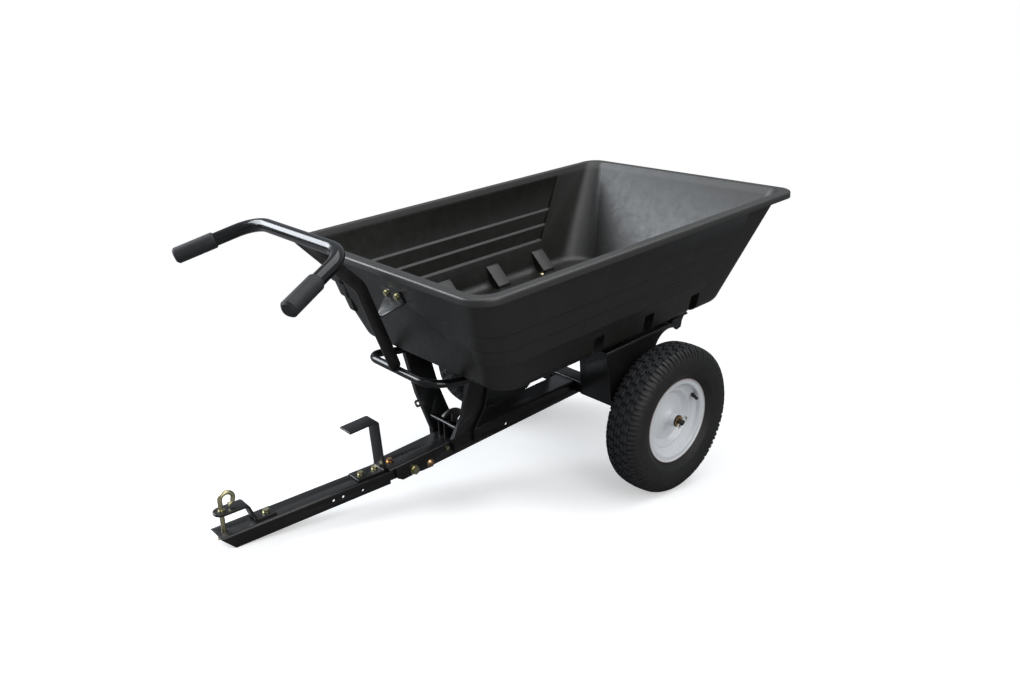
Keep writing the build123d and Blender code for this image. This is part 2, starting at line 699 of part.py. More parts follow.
def make_hitch_pin():
    # straight pin with a wound eye on top and a cross hole near its point
    shaft = rod_z(PIN_R, TONGUE_TOP - 22, PIN_TOP, 0, -PIN_S)
    shaft = chamfer(shaft.edges().sort_by(Axis.Z)[0], 1.5)
    pts = [ray(PIN_CURL, angle) for angle in (180, 50, -80)]
    path = ThreePointArc(*[Vector(0, a + PIN_CURL - PIN_S, b + PIN_TOP) for a, b in pts])
    curl = sweep(Plane(origin=path @ 0, z_dir=path % 0) * Circle(PIN_R), path=path)
    collar = rod_z(7.5, TONGUE_TOP + HITCH_GAP + 5, TONGUE_TOP + HITCH_GAP + 8, 0, -PIN_S)
    body = shaft + curl + collar
    return body - Pos(0, -PIN_S, CLIP_N) * Rot(90, 0, 0) * Cylinder(1.6, 30)


def pin_clip():
    return Pos(0, -PIN_S, CLIP_N) * Rot(0, 0, -90) * Rot(0, 90, 0) * clip(PIN_R, 1.5, 10.0, 4.5)


def fold_pin():
    # solid pin with two low round heads
    edge = BAR_HALF_W
    body = rod_x(FOLD_R, -edge, edge, FOLD_Y, FOLD_Z)
    body += Pos(edge, FOLD_Y, FOLD_Z) * Rot(0, 90, 0) * dome(11, 5)
    body += Pos(-edge, FOLD_Y, FOLD_Z) * Rot(0, -90, 0) * dome(11, 5)
    return body


def fold_spacers():
    group = []
    for side in (-1, 1):
        a = side * (TONGUE_HALF_W + 0.4)
        b = side * (BAR_HALF_W - BAR_T)
        ring = rod_x(13, min(a, b), max(a, b), FOLD_Y, FOLD_Z)
        group.append(ring - rod_x(FOLD_R, -60, 60, FOLD_Y, FOLD_Z))
    return group


def lock_slot():
    # open-ended slot in the drawbar's flanks, wide enough for the bolt's arc about the fold pin
    y, z = tongue_to_frame(LOCK_S, 0)
    gap = LOCK_R + 0.5
    low = BAR_LOW - 1
    arc = LOCK_S - (LOCK_S ** 2 - (low - LOCK_R - FOLD_Z) ** 2) ** 0.5
    return Pos(y, z) * Circle(gap) + poly((y - gap, z), (y + gap, z), (y + gap + arc, low), (y - gap, low))


def lock_bolt():
    # hex bolt through the tongue that clamps on the drawbar's flanks
    length = 2 * (BAR_HALF_W + LOCK_GAP)
    body = bolt(LOCK_R, length, 9.0, 7.0, 8.0, 12.0, 2.0)
    return Pos(length / 2, -LOCK_S, 0) * Rot(0, 90, 0) * body


def stop_bolt():
    # bolt under the drawbar's nose that sets the tongue's angle
    s = (FOLD_Y - STOP_Y) / cos(radians(KINK))
    rest = tongue_to_frame(s, TONGUE_TOP)[1]
    body = rod_z(4.0, rest + 3.5, BAR_TOP + 1, 0, STOP_Y)
    body += Pos(0, STOP_Y, BAR_TOP + 1.5) * hex_head(6.5, 5.5)
    body += rod_z(9.0, BAR_TOP, BAR_TOP + 1.5, 0, STOP_Y)
    body += rod_z(9.0, rest + 1.2, BAR_TOP - BAR_T, 0, STOP_Y)
    return body


# ---------------------------------------------------------------- latch
def ray(r, angle):
    return r * cos(radians(angle)), r * sin(radians(angle))


def fan(a0, a1):
    return poly((0, 0), ray(90, a0), ray(90, (a0 + a1) / 2), ray(90, a1))


def make_latch():
    # hook plate: its throat is an arc about its own pin, so lifting the catch pin can't open it
    dy = CATCH_Y - HOOK_Y
    dz = CATCH_Z - HOOK_Z
    reach = hypot(dy, dz)
    away = degrees(atan2(dz, dy))
    rim = Circle(reach + CATCH_R + 9)
    shape = (rim - Circle(reach + CATCH_R + CATCH_GAP)) & fan(away - 48, away + HOOK_OVER)
    shape += rim & fan(away - 70, away - 22)
    shape += Circle(9)
    shape -= Pos(dy, dz) * Circle(CATCH_R + CATCH_GAP)
    shape += Rot(0, 0, PEDAL_UP) * Pos(12, 0) * Rectangle(24, 9)
    body = run_x(Pos(HOOK_Y, HOOK_Z) * shape, -HOOK_T / 2, HOOK_T / 2)
    pad = extrude(fillet((Pos(0, 34) * Rectangle(44, 34)).vertices(), 12), amount=4, dir=(0, 0, 1))
    body += Pos(0, HOOK_Y, HOOK_Z) * Rot(PEDAL_UP, 0, 0) * Pos(0, 0, -2) * pad
    body -= rod_x(HOOK_R + RUN, -20, 20, HOOK_Y, HOOK_Z)
    return Pos(0, HOOK_Y, HOOK_Z) * Rot(-HOOK_OPEN, 0, 0) * Pos(0, -HOOK_Y, -HOOK_Z) * body


def latch_spring():
    # coils round the hook's pin, one end laid along the pedal's neck
    coil = Helix(pitch=1.9, height=4.2, radius=HOOK_R + 1.6)
    wire = sweep(Plane(origin=coil @ 0, z_dir=coil % 0) * Circle(0.8), path=coil)
    return Pos(HOOK_T / 2 + 1.0, HOOK_Y, HOOK_Z) * Rot(0, 90, 0) * wire


def latch_pin():
    body = rod_x(HOOK_R, -EAR_X - 3, EAR_X + 3, HOOK_Y, HOOK_Z)
    for side in (-1, 1):
        a = side * (EAR_X + 2)
        b = side * (EAR_X + 5)
        body += rod_x(6.5, min(a, b), max(a, b), HOOK_Y, HOOK_Z)
    return body


def anchor_bolt():
    inside = BAR_HALF_W - BAR_T
    body = rod_x(3.0, inside - 2.5, BAR_HALF_W + 1, ANCHOR_Y, ANCHOR_Z)
    body += Pos(BAR_HALF_W, ANCHOR_Y, ANCHOR_Z) * Rot(0, 90, 0) * hex_head(5, 4)
    body += Pos(inside - 2.5, ANCHOR_Y, ANCHOR_Z) * Rot(0, 90, 0) * hex_head(5, 2.5)
    return body


# ---------------------------------------------------------------- wheels
def tyre_profile():
    w = TYRE_W / 2
    t = TREAD_W / 2
    bead = RIM_HALF_W - 5
    outer = [(bead, BEAD_R), (bead, RIM_FLANGE_R - 1.5), (RIM_HALF_W, RIM_FLANGE_R + 3), (w - 4, 138),
             (w, 160), (w - 2, 177), (t + 2, 191), (t - 8, 199.5)]
    return [Vector(x, r) for x, r in outer]


def make_tyre(side):
    pts = tyre_profile()
    edge = Polyline(pts[0], pts[1], pts[2])
    flank = Spline(*pts[2:], tangents=((0.45, 1), (-1, 0.25)))
    crown = ThreePointArc(pts[-1], Vector(0, TYRE_R), Vector(-pts[-1].X, pts[-1].Y))
    outline = edge + flank + crown + mirror(flank, about=Plane.YZ) + mirror(edge, about=Plane.YZ)
    outline += Line(Vector(-pts[0].X, BEAD_R), Vector(pts[0].X, BEAD_R))
    face = make_face(outline)
    inner = Ellipse(TYRE_W / 2 - 9, 38)
    inner = Pos(0, 151) * inner
    mouth = poly((-16, BEAD_R - 5), (16, BEAD_R - 5), (26, BEAD_R + 22), (-26, BEAD_R + 22))
    face -= inner + mouth
    body = revolve(face, axis=Axis.X)
    return Pos(side * TRACK_HALF, 0, 0) * body


def rim_profile():
    w = RIM_HALF_W
    t = RIM_T
    seat = BEAD_R - t / 2 - 0.1
    half = [(11, RIM_WELL_R), (17, seat - 1), (w - 3.5, seat), (w - 3, RIM_FLANGE_R - 3), (w, RIM_FLANGE_R)]
    return [(-x, r) for x, r in half[::-1]] + half


def strip(points, t, radius):
    path = FilletPolyline(*[Vector(a, b) for a, b in points], radius=radius)
    return make_face(offset(path, t / 2, side=Side.BOTH, kind=Kind.ARC))


def make_rim(side):
    # rolled rim, dished disc and hub tube, turned about the axle line
    section = strip(rim_profile(), RIM_T, 2.0)
    disc = strip([(9, RIM_WELL_R - 0.5), (9, 77), (-6, 66), (-1, 40), (4, 24), (13, HUB_R + 0.8)], RIM_T, 5.0)
    tube = poly((-HUB_IN + 3, BUSH_R), (HUB_OUT - 3, BUSH_R), (HUB_OUT - 3, HUB_R), (-HUB_IN + 3, HUB_R))
    body = revolve(section, axis=Axis.X) + revolve(disc, axis=Axis.X) + revolve(tube, axis=Axis.X)
    body -= valve_place() * Cylinder(VALVE_R, 40)
    return Pos(side * TRACK_HALF, 0, 0) * (body if side > 0 else mirror(body, about=Plane.YZ))


def make_bushes():
    # flanged sleeves pressed in the hub tubes, running on the axle
    group = []
    bore = AXLE_R + RUN
    half = poly((0, bore), (28, bore), (28, HUB_R - 1), (25, HUB_R - 1), (25, BUSH_R), (0, BUSH_R))
    sleeve = revolve(half, axis=Axis.X)
    for side in (-1, 1):
        outer_end = TRACK_HALF + HUB_OUT - 28
        inner_end = TRACK_HALF - HUB_IN + 28
        pair = Pos(outer_end, 0, 0) * sleeve
        pair2 = Pos(inner_end, 0, 0) * mirror(sleeve, about=Plane.YZ)
        for piece in (pair, pair2):
            group.append(piece if side > 0 else mirror(piece, about=Plane.YZ))
    return group[2:], group[:2]


VALVE_R = 3.8
VALVE_TURN = -64.0
VALVE_LEAN = 112.0


def valve_place():
    # on the inside of the rim's sloping well wall, pointing outwards through it
    return Rot(VALVE_TURN, 0, 0) * Pos(5.8, 0, RIM_WELL_R + 10.7) * Rot(0, VALVE_LEAN, 0)


def make_valve(side):
    body = rod_z(VALVE_R, 2, 30) + rod_z(5.4, 2, 7.4) + rod_z(5.2, 11.4, 20) + rod_z(4.4, 24, 34)
    placed = valve_place() * body
    placed = placed if side > 0 else mirror(placed, about=Plane.YZ)
    return Pos(side * TRACK_HALF, 0, 0) * placed


# ---------------------------------------------------------------- placing
def rest_pitch():
    # pitch about the axle that lets the tongue's lower front corner down to the ground
    y, z = tongue_to_frame(TONGUE_L - NOSE_BACK, TONGUE_LOW)
    return degrees(asin(TYRE_R / hypot(y, z)) + atan2(z, -y))


def build_all():
    parts = {}
    parts["drawbar"] = make_drawbar()
    parts["axle_channel"] = make_cross()
    parts["axle_rod"] = make_axle()
    parts["axle_washers"] = axle_washers()
    parts["axle_clips"] = axle_clips()
    parts["pivot_rod"] = make_pivot_rod()
    parts["fold_pin"] = fold_pin()
    parts["fold_spacers"] = fold_spacers()
    parts["stop_bolt"] = stop_bolt()
    parts["latch_pin"] = latch_pin()
    parts["anchor_bolt"] = anchor_bolt()
    parts["latch_hook"] = make_latch()
    parts["latch_spring"] = latch_spring()
    parts["catch_pin"] = make_catch_pin()
    parts["lock_tab"] = make_lock_tab()
    parts["lock_bolt"] = TONGUE_PLACE * lock_bolt()
    parts["tongue"] = TONGUE_PLACE * make_tongue()
    parts["stand_strap"] = TONGUE_PLACE * make_stand()
    parts["stand_bolts"] = [TONGUE_PLACE * one for one in stand_bolts()]
    parts["hitch_strap"] = TONGUE_PLACE * make_hitch_strap()
    parts["hitch_bolt"] = TONGUE_PLACE * hitch_bolt()
    parts["hitch_pin"] = TONGUE_PLACE * make_hitch_pin()
    parts["hitch_clip"] = TONGUE_PLACE * pin_clip()
    parts["tub"] = bed(tub_with_holes())
    parts["under_frame"] = bed(make_under_frame())
    parts["handle_bar"] = bed(make_handle_bar())
    parts["handle_stem"] = bed(make_stem())
    parts["stem_bracket"] = bed(make_stem_bracket())
    parts["tab_bolts"] = [bed(one) for one in tab_bolts()]
    parts["floor_bolts"] = [bed(one) for one in floor_bolts()]
    right_bushes, left_bushes = make_bushes()
    parts["bushes_right"] = right_bushes
    parts["bushes_left"] = left_bushes
    for side, name in ((1, "right"), (-1, "left")):
        parts["side_plate_" + name] = side_plate(side)
        parts["wing_" + name] = make_wing(side)
        parts["brace_" + name] = make_brace(side)
        parts["hinge_bracket_" + name] = bed(hinge_bracket(side))
        parts["grip_" + name] = bed(make_grip(side))
        parts["tyre_" + name] = make_tyre(side)
        parts["rim_" + name] = make_rim(side)
        parts["valve_" + name] = make_valve(side)
    return parts


def main():
    # the cart at rest on both wheels and the tongue tip, centred under its own bounding box
    os.makedirs("parts", exist_ok=True)
    pitch = Rot(rest_pitch(), 0, 0)
    made = {}
    for name, shape in build_all().items():
        pieces = shape if isinstance(shape, list) else shape.solids()
        made[name] = [pitch * one for one in pieces]
    box = Compound([one for pieces in made.values() for one in pieces]).bounding_box()
    seat = Pos(0, -(box.min.Y + box.max.Y) / 2, -box.min.Z)
    for name, pieces in made.items():
        export_step(Compound([seat * one for one in pieces]), "parts/" + name + ".step")


main()
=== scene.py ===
import json
import math

import bmesh
import bpy
from mathutils import Matrix, Vector

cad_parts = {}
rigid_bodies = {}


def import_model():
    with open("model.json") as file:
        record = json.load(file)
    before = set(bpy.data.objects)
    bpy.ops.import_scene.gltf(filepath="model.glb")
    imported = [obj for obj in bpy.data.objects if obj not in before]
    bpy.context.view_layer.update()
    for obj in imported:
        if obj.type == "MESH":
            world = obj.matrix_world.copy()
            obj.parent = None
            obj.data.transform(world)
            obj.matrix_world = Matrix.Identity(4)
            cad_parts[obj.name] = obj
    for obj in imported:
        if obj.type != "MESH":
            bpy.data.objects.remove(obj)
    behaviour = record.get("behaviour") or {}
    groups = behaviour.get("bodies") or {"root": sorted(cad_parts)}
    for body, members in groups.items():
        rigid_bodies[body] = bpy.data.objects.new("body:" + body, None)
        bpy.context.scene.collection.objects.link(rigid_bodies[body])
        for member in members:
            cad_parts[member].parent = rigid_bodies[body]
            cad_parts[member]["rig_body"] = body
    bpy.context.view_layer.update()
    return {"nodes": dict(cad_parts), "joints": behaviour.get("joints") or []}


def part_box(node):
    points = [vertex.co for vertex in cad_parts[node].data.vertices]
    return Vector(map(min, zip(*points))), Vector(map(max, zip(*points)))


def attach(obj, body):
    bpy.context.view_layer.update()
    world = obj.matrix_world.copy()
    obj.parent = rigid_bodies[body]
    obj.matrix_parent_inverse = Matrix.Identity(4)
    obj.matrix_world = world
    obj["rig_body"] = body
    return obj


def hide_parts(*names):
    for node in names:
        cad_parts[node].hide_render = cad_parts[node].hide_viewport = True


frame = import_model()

# Garden cart. The level drawing puts the axle line at the origin, in millimetres.
# LEVEL and BED carry drawing points of the frame and of the bed to their rest place.
MM = 0.001
PIVOT = (0.0, 127.0, 204.0)
BED_SLOPE = math.radians(0.6)
TRACK_HALF = 352.0
TYRE_RADIUS = 203.0

# where the lip's paler band, a painted sheen, starts and is full, metres above the bed's drawing base
LIP_SHEEN_BAND = (0.491, 0.494)

# bevels of the sheet steel, the latch parts and the moulded tub, metres
PLATE_EDGE = 0.0007
LATCH_EDGE = 0.0006
TUB_EDGE = 0.0032

# camera in the level drawing: degrees round, up and rolled, place in millimetres, focal length in pixels
VIEW_TURN = (48.53, 20.76, -0.75)
VIEW_PLACE = (1620.68, -1673.38, 1206.30 - TYRE_RADIUS)
VIEW_PITCH = -4.16
VIEW_LENS = 862.13
PICTURE_WIDTH = 1020
SENSOR = 36.0

WHITE = (1, 1, 1, 1)


def turn_x(angle):
    return Matrix.Rotation(angle, 4, "X")


def move(x, y, z):
    return Matrix.Translation((x, y, z))


def level_matrix():
    """Carries the level drawing onto the cart as it stands, read from the axle and the tub's pivot."""
    low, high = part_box("axle_rod")
    axle = (low + high) / 2
    tip = next(j for j in frame["joints"] if j["name"] == "bed_tip")["pos_m"]
    pitch = math.atan2(tip[2] - axle.z, tip[1] - axle.y) - math.atan2(PIVOT[2], PIVOT[1])
    return move(0, axle.y, axle.z) @ turn_x(pitch) @ Matrix.Scale(MM, 4)


LEVEL = level_matrix()
BED = LEVEL @ move(*PIVOT) @ turn_x(-BED_SLOPE) @ move(0, -PIVOT[1], -PIVOT[2])


# ------------------------------------------------------------------ node helpers
class Shade:
    """One procedural material, built node by node on Object coordinates."""

    def __init__(self, name):
        self.mat = bpy.data.materials.new(name)
        self.mat.use_nodes = True
        self.nodes = self.mat.node_tree.nodes
        self.links = self.mat.node_tree.links
        self.bsdf = self.nodes["Principled BSDF"]
        self.coord = self.nodes.new("ShaderNodeTexCoord").outputs["Object"]

    def set(self, **values):
        for key, value in values.items():
            self.bsdf.inputs[key.replace("_", " ")].default_value = value

    def noise(self, scale, detail=3.0, rough=0.55, coord=None):
        n = self.nodes.new("ShaderNodeTexNoise")
        n.inputs["Scale"].default_value = scale
        n.inputs["Detail"].default_value = detail
        n.inputs["Roughness"].default_value = rough
        self.links.new(coord or self.coord, n.inputs["Vector"])
        return n.outputs["Fac"]

    def stretch(self, x, y, z):
        n = self.nodes.new("ShaderNodeMapping")
        n.inputs["Scale"].default_value = (x, y, z)
        self.links.new(self.coord, n.inputs["Vector"])
        return n.outputs["Vector"]

    def ramp(self, fac, stops):
        n = self.nodes.new("ShaderNodeValToRGB")
        ramp = n.color_ramp
        while len(ramp.elements) < len(stops):
            ramp.elements.new(0.5)
        for element, (pos, color) in zip(ramp.elements, stops):
            element.position = pos
            value = color if hasattr(color, "__len__") else (color, color, color)
            element.color = (*value, 1)
        self.links.new(fac, n.inputs["Fac"])
        return n.outputs["Color"]

    def mix(self, fac, a, b):
        n = self.nodes.new("ShaderNodeMix")
        n.data_type = "RGBA"
        self._feed(n.inputs["Factor"], fac)
        self._feed(n.inputs["A"], a)
        self._feed(n.inputs["B"], b)
        return n.outputs["Result"]

    def math(self, kind, a, b=0.0):
        n = self.nodes.new("ShaderNodeMath")
        n.operation = kind
        self._feed(n.inputs[0], a)
        self._feed(n.inputs[1], b)
        return n.outputs[0]

    def shader(self, kind, color, strength=None):
        n = self.nodes.new(kind)
        n.inputs["Color"].default_value = color
        if strength is not None:
            n.inputs["Strength"].default_value = strength
        return n.outputs[0]

    def blend(self, fac, a, b):
        n = self.nodes.new("ShaderNodeMixShader")
        self.links.new(fac, n.inputs["Fac"])
        self.links.new(a, n.inputs[1])
        self.links.new(b, n.inputs[2])
        return n.outputs[0]

    def seen(self):
        return self.nodes.new("ShaderNodeLightPath").outputs["Is Camera Ray"]

    def _feed(self, socket, value):
        if isinstance(value, bpy.types.NodeSocket):
            self.links.new(value, socket)
        elif hasattr(value, "__len__") and len(value) == 3:
            socket.default_value = (*value, 1)
        else:
            socket.default_value = value

    def color(self, value):
        self._feed(self.bsdf.inputs["Base Color"], value)

    def rough(self, value):
        self._feed(self.bsdf.inputs["Roughness"], value)

    def bump(self, height, distance, strength=1.0, after=None):
        n = self.nodes.new("ShaderNodeBump")
        n.inputs["Strength"].default_value = strength
        n.inputs["Distance"].default_value = distance
        self.links.new(height, n.inputs["Height"])
        if after:
            self.links.new(after, n.inputs["Normal"])
        self.links.new(n.outputs["Normal"], self.bsdf.inputs["Normal"])
        return n.outputs["Normal"]

    def pointiness(self):
        return self.nodes.new("ShaderNodeNewGeometry").outputs["Pointiness"]


# ------------------------------------------------------------------ finishes
def powder_black(name, base, rough, grain=900.0):
    s = Shade(name)
    tone = s.noise(14.0, 4.0)
    s.color(s.ramp(tone, [(0.3, base), (0.75, tuple(c * 1.5 + 0.002 for c in base))]))
    s.rough(s.ramp(s.noise(60.0, 5.0), [(0.3, rough - 0.05), (0.7, rough + 0.08)]))
    s.bump(s.noise(grain, 2.0), 0.00012, 0.35)
    s.set(Metallic=0.0, Coat_Weight=0.25, Coat_Roughness=0.12)
    return s.mat


def plated(name, light, dark, rough):
    s = Shade(name)
    cloud = s.noise(160.0, 4.0, 0.6)
    s.color(s.ramp(cloud, [(0.32, dark), (0.5, light), (0.72, tuple(c * 0.85 for c in light))]))
    s.rough(s.ramp(s.noise(420.0, 3.0), [(0.3, rough - 0.06), (0.7, rough + 0.12)]))
    s.bump(s.noise(1400.0, 2.0), 0.00004, 0.4)
    s.set(Metallic=1.0)
    return s.mat


def height_along(s, place):
    """Height in millimetres in the drawing that the matrix place belongs to."""
    up = place.to_3x3() @ Vector((0, 0, 1))
    scale = up.length
    dot = s.nodes.new("ShaderNodeVectorMath")
    dot.operation = "DOT_PRODUCT"
    s.links.new(s.coord, dot.inputs[0])
    dot.inputs[1].default_value = up / (scale * scale)
    base = (up / (scale * scale)).dot(place.to_translation())
    return s.math("SUBTRACT", dot.outputs["Value"], base)


def tub_finish():
    s = Shade("moulded_poly")
    haze = s.noise(5.0, 5.0, 0.6)
    streak = s.noise(22.0, 4.0, 0.6, s.stretch(1.0, 1.0, 0.25))
    base = s.ramp(haze, [(0.25, (0.0046, 0.0040, 0.0028)), (0.75, (0.0080, 0.0072, 0.0052))])
    wall = s.mix(s.ramp(streak, [(0.45, 0.0), (0.8, 0.5)]), base, (0.0145, 0.0138, 0.0118))
    # painted sheen: the tub turns paler warm grey along the band at the lip's height
    lip = s.ramp(s.math("MULTIPLY", height_along(s, BED), MM), [(LIP_SHEEN_BAND[0], 0.0), (LIP_SHEEN_BAND[1], 1.0)])
    s.color(s.mix(lip, wall, (0.034, 0.033, 0.031)))
    s.rough(s.ramp(s.noise(38.0, 6.0, 0.65), [(0.3, 0.36), (0.7, 0.47)]))
    fine = s.bump(s.noise(1500.0, 2.0), 0.00010, 0.3)
    s.bump(s.noise(9.0, 2.0), 0.0012, 0.25, fine)
    s.set(Specular_IOR_Level=0.8)
    return s.mat


def axle_distance(s):
    """Distance from the axle line, in metres."""
    axle = LEVEL.to_translation()
    split = s.nodes.new("ShaderNodeSeparateXYZ")
    s.links.new(s.coord, split.inputs[0])
    dy = s.math("SUBTRACT", split.outputs[1], axle.y)
    dz = s.math("SUBTRACT", split.outputs[2], axle.z)
    return s.math("SQRT", s.math("ADD", s.math("MULTIPLY", dy, dy), s.math("MULTIPLY", dz, dz)))


def tyre_finish():
    s = Shade("tyre_rubber")
    dust = s.noise(34.0, 5.0, 0.65)
    base = s.ramp(dust, [(0.3, (0.0085, 0.0085, 0.0085)), (0.72, (0.0165, 0.0162, 0.0152))])
    # painted highlight and shade: paler on the convex block edges, left darker in the grooves
    wear_and_edge_shade = s.mix(s.ramp(s.pointiness(), [(0.47, 0.0), (0.56, 0.35)]), base, (0.030, 0.030, 0.029))
    # painted sheen: the tread tops, found by distance from the axle, turn lighter and blue-grey
    top = s.ramp(s.math("MULTIPLY", axle_distance(s), 4.5), [(0.862, 0.0), (0.902, 1.0)])
    s.color(s.mix(s.math("MULTIPLY", top, 0.8), wear_and_edge_shade, (0.036, 0.037, 0.041)))
    s.rough(s.ramp(s.noise(90.0, 4.0), [(0.3, 0.48), (0.7, 0.62)]))
    s.bump(s.noise(700.0, 3.0), 0.00025, 0.4)
    return s.mat


def rim_finish():
    s = Shade("white_enamel")
    cloud = s.noise(7.0, 2.0)
    paint_coat = s.ramp(cloud, [(0.25, (0.80, 0.825, 0.855)), (0.8, (0.83, 0.845, 0.865))])
    edge = s.ramp(s.math("MULTIPLY", axle_distance(s), 8.0), [(0.898, 0.0), (0.912, 0.6)])
    s.color(s.mix(edge, paint_coat, (0.34, 0.19, 0.14)))
    s.rough(s.ramp(s.noise(30.0, 2.0), [(0.3, 0.27), (0.7, 0.31)]))
    s.bump(s.noise(220.0, 2.0), 0.00004, 0.2)
    s.set(Coat_Weight=0.4, Coat_Roughness=0.1)
    return s.mat


def soft_rubber(name, base, rough):
    s = Shade(name)
    s.color(s.ramp(s.noise(60.0, 4.0), [(0.3, base), (0.75, tuple(c * 1.6 for c in base))]))
    s.rough(s.ramp(s.noise(200.0, 3.0), [(0.3, rough - 0.05), (0.7, rough + 0.08)]))
    s.bump(s.noise(1100.0, 3.0), 0.00018, 0.4)
    return s.mat


TUB = tub_finish()
STEEL = powder_black("black_powder_coat", (0.0062, 0.0060, 0.0062), 0.34)
TUBE = powder_black("gloss_black_tube", (0.0035, 0.0035, 0.0038), 0.16, 500.0)
ZINC = plated("clear_zinc", (0.60, 0.60, 0.58), (0.40, 0.40, 0.38), 0.34)
YELLOW = plated("yellow_zinc", (0.66, 0.60, 0.38), (0.42, 0.46, 0.30), 0.3)
COPPER = plated("copper_gold_wire", (0.72, 0.45, 0.24), (0.60, 0.34, 0.16), 0.28)
BRASSY = plated("amber_zinc", (0.62, 0.42, 0.18), (0.36, 0.24, 0.10), 0.32)
DULL = plated("dull_zinc", (0.20, 0.20, 0.18), (0.12, 0.12, 0.105), 0.5)
SPRING = plated("oiled_spring", (0.16, 0.15, 0.14), (0.07, 0.07, 0.065), 0.4)
TYRE = tyre_finish()
ENAMEL = rim_finish()
GRIP = soft_rubber("grip_rubber", (0.016, 0.0165, 0.018), 0.55)
VALVE = soft_rubber("valve_rubber", (0.01, 0.01, 0.01), 0.5)
NYLON = soft_rubber("black_nylon", (0.014, 0.014, 0.014), 0.42)


# ------------------------------------------------------------------ mesh helpers
def finish_mesh(mesh, smooth_angle=35.0):
    bm = bmesh.new()
    bm.from_mesh(mesh)
    bmesh.ops.remove_doubles(bm, verts=bm.verts, dist=1e-6)
    bmesh.ops.recalc_face_normals(bm, faces=bm.faces)
    limit = math.radians(smooth_angle)
    for face in bm.faces:
        face.smooth = True
    for edge in bm.edges:
        if len(edge.link_faces) == 2:
            edge.smooth = edge.calc_face_angle(0.0) < limit
    bm.to_mesh(mesh)
    bm.free()


def piece(name, mesh, body, material, replaces=(), smooth_angle=35.0):
    finish_mesh(mesh, smooth_angle)
    obj = bpy.data.objects.new(name, mesh)
    bpy.context.scene.collection.objects.link(obj)
    mesh.materials.clear()
    mesh.materials.append(material)
    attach(obj, body)
    if replaces:
        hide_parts(*replaces)
    return obj


def baked(obj):
    """Plain mesh of an object with its modifiers applied; the object goes away."""
    graph = bpy.context.evaluated_depsgraph_get()
    mesh = bpy.data.meshes.new_from_object(obj.evaluated_get(graph))
    mesh.transform(obj.matrix_world)
    bpy.data.objects.remove(obj)
    return mesh


def bevelled_node(node, material, width, segments=2, angle=28.0):
    """A CAD piece with its edges broken, standing for the plain solid."""
    source = frame["nodes"][node]
    mesh = source.data.copy()
    bm = bmesh.new()
    bm.from_mesh(mesh)
    bmesh.ops.remove_doubles(bm, verts=bm.verts, dist=1e-5)
    bmesh.ops.dissolve_limit(bm, angle_limit=math.radians(0.6), verts=bm.verts, edges=bm.edges)
    bm.to_mesh(mesh)
    bm.free()
    temp = bpy.data.objects.new("temp", mesh)
    bpy.context.scene.collection.objects.link(temp)
    bevel = temp.modifiers.new("bevel", "BEVEL")
    bevel.width = width
    bevel.segments = segments
    bevel.limit_method = "ANGLE"
    bevel.angle_limit = math.radians(angle)
    bevel.use_clamp_overlap = True
    result = baked(temp)
    body = source["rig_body"]
    return piece(node + "_edged", result, body, material, (node,), 40.0)


def paint(node, material):
    mesh = frame["nodes"][node].data
    mesh.materials.clear()
    mesh.materials.append(material)


# ------------------------------------------------------------------ plain finishes on the CAD pieces
for node, material in {
    "axle_rod": STEEL, "pivot_rod": STEEL, "fold_pin": COPPER, "fold_spacers": ZINC, "latch_pin": ZINC,
    "catch_pin": STEEL, "bushes_left": NYLON, "bushes_right": NYLON, "latch_spring": SPRING,
    "valve_left": VALVE, "valve_right": VALVE, "axle_clips": ZINC, "hitch_clip": COPPER, "hitch_pin": YELLOW,
    "anchor_bolt": YELLOW, "stop_bolt": COPPER, "axle_washers": BRASSY, "stand_bolts": YELLOW,
    "hitch_bolt": YELLOW, "lock_bolt": YELLOW, "tab_bolts": YELLOW, "floor_bolts": YELLOW,
    "rim_left": ENAMEL, "rim_right": ENAMEL,
    "handle_bar": TUBE, "under_frame": TUBE, "grip_left": GRIP, "grip_right": GRIP,
}.items():
    paint(node, material)

for node in ("drawbar", "axle_channel", "side_plate_left", "side_plate_right", "wing_left", "wing_right",
             "tongue", "stand_strap", "hitch_strap", "brace_left", "brace_right", "hinge_bracket_left",
             "hinge_bracket_right", "handle_stem", "stem_bracket"):
    bevelled_node(node, STEEL, PLATE_EDGE)
for node in ("latch_hook", "lock_tab"):
    bevelled_node(node, DULL, LATCH_EDGE)
bevelled_node("tub", TUB, TUB_EDGE, 4, 24.0)


# ------------------------------------------------------------------ tyres
PITCHES = 46
PITCH = 2 * math.pi * TYRE_RADIUS / PITCHES
# half section of the carcass (axial, radial), from the bead up to the groove floor at the crown
CARCASS = ((29.0, 102.4), (29.0, 111.5), (31.5, 114.6), (34.5, 118.5), (39.0, 124.5), (43.6, 131.0),
           (45.4, 134.0), (46.6, 134.4), (47.4, 137.4), (49.6, 146.0), (51.0, 156.0), (51.2, 163.0),
           (50.6, 170.0), (49.6, 175.0), (48.2, 178.5), (46.0, 183.0), (42.5, 188.0), (37.0, 192.4),
           (28.0, 195.4), (16.0, 197.0), (6.0, 197.4))
# line over the tops of the blocks, from the middle of the tread out to the shoulder (axial, radial)
CROWN_TOP = ((0.0, 202.8), (15.0, 202.2), (28.0, 200.6), (34.0, 199.2), (41.0, 195.0), (46.5, 188.0),
             (50.2, 179.5), (51.2, 172.0))
# outline of one interlocking block (axial, along the tread) for the pitch length LINK_PITCH
LINK = ((-8.6, -7.6), (-3.4, -8.6), (-1.6, -5.2), (1.8, -4.6), (4.0, -8.6), (8.6, -7.4), (9.4, -1.4),
        (8.4, 8.2), (3.2, 8.8), (1.6, 5.4), (-1.8, 4.8), (-4.0, 8.8), (-8.6, 7.8), (-7.4, 1.6))
LINK_PITCH = 22.0
LINK_ROW = 20.6
# shoulder lug from the tread to the flank (axial, how much narrower on each side)
LUG = ((31.8, 0.6), (36.0, 0.0), (41.0, 0.0), (46.5, 0.4), (50.0, 0.9), (51.1, 1.6))
LUG_GAP = 1.0


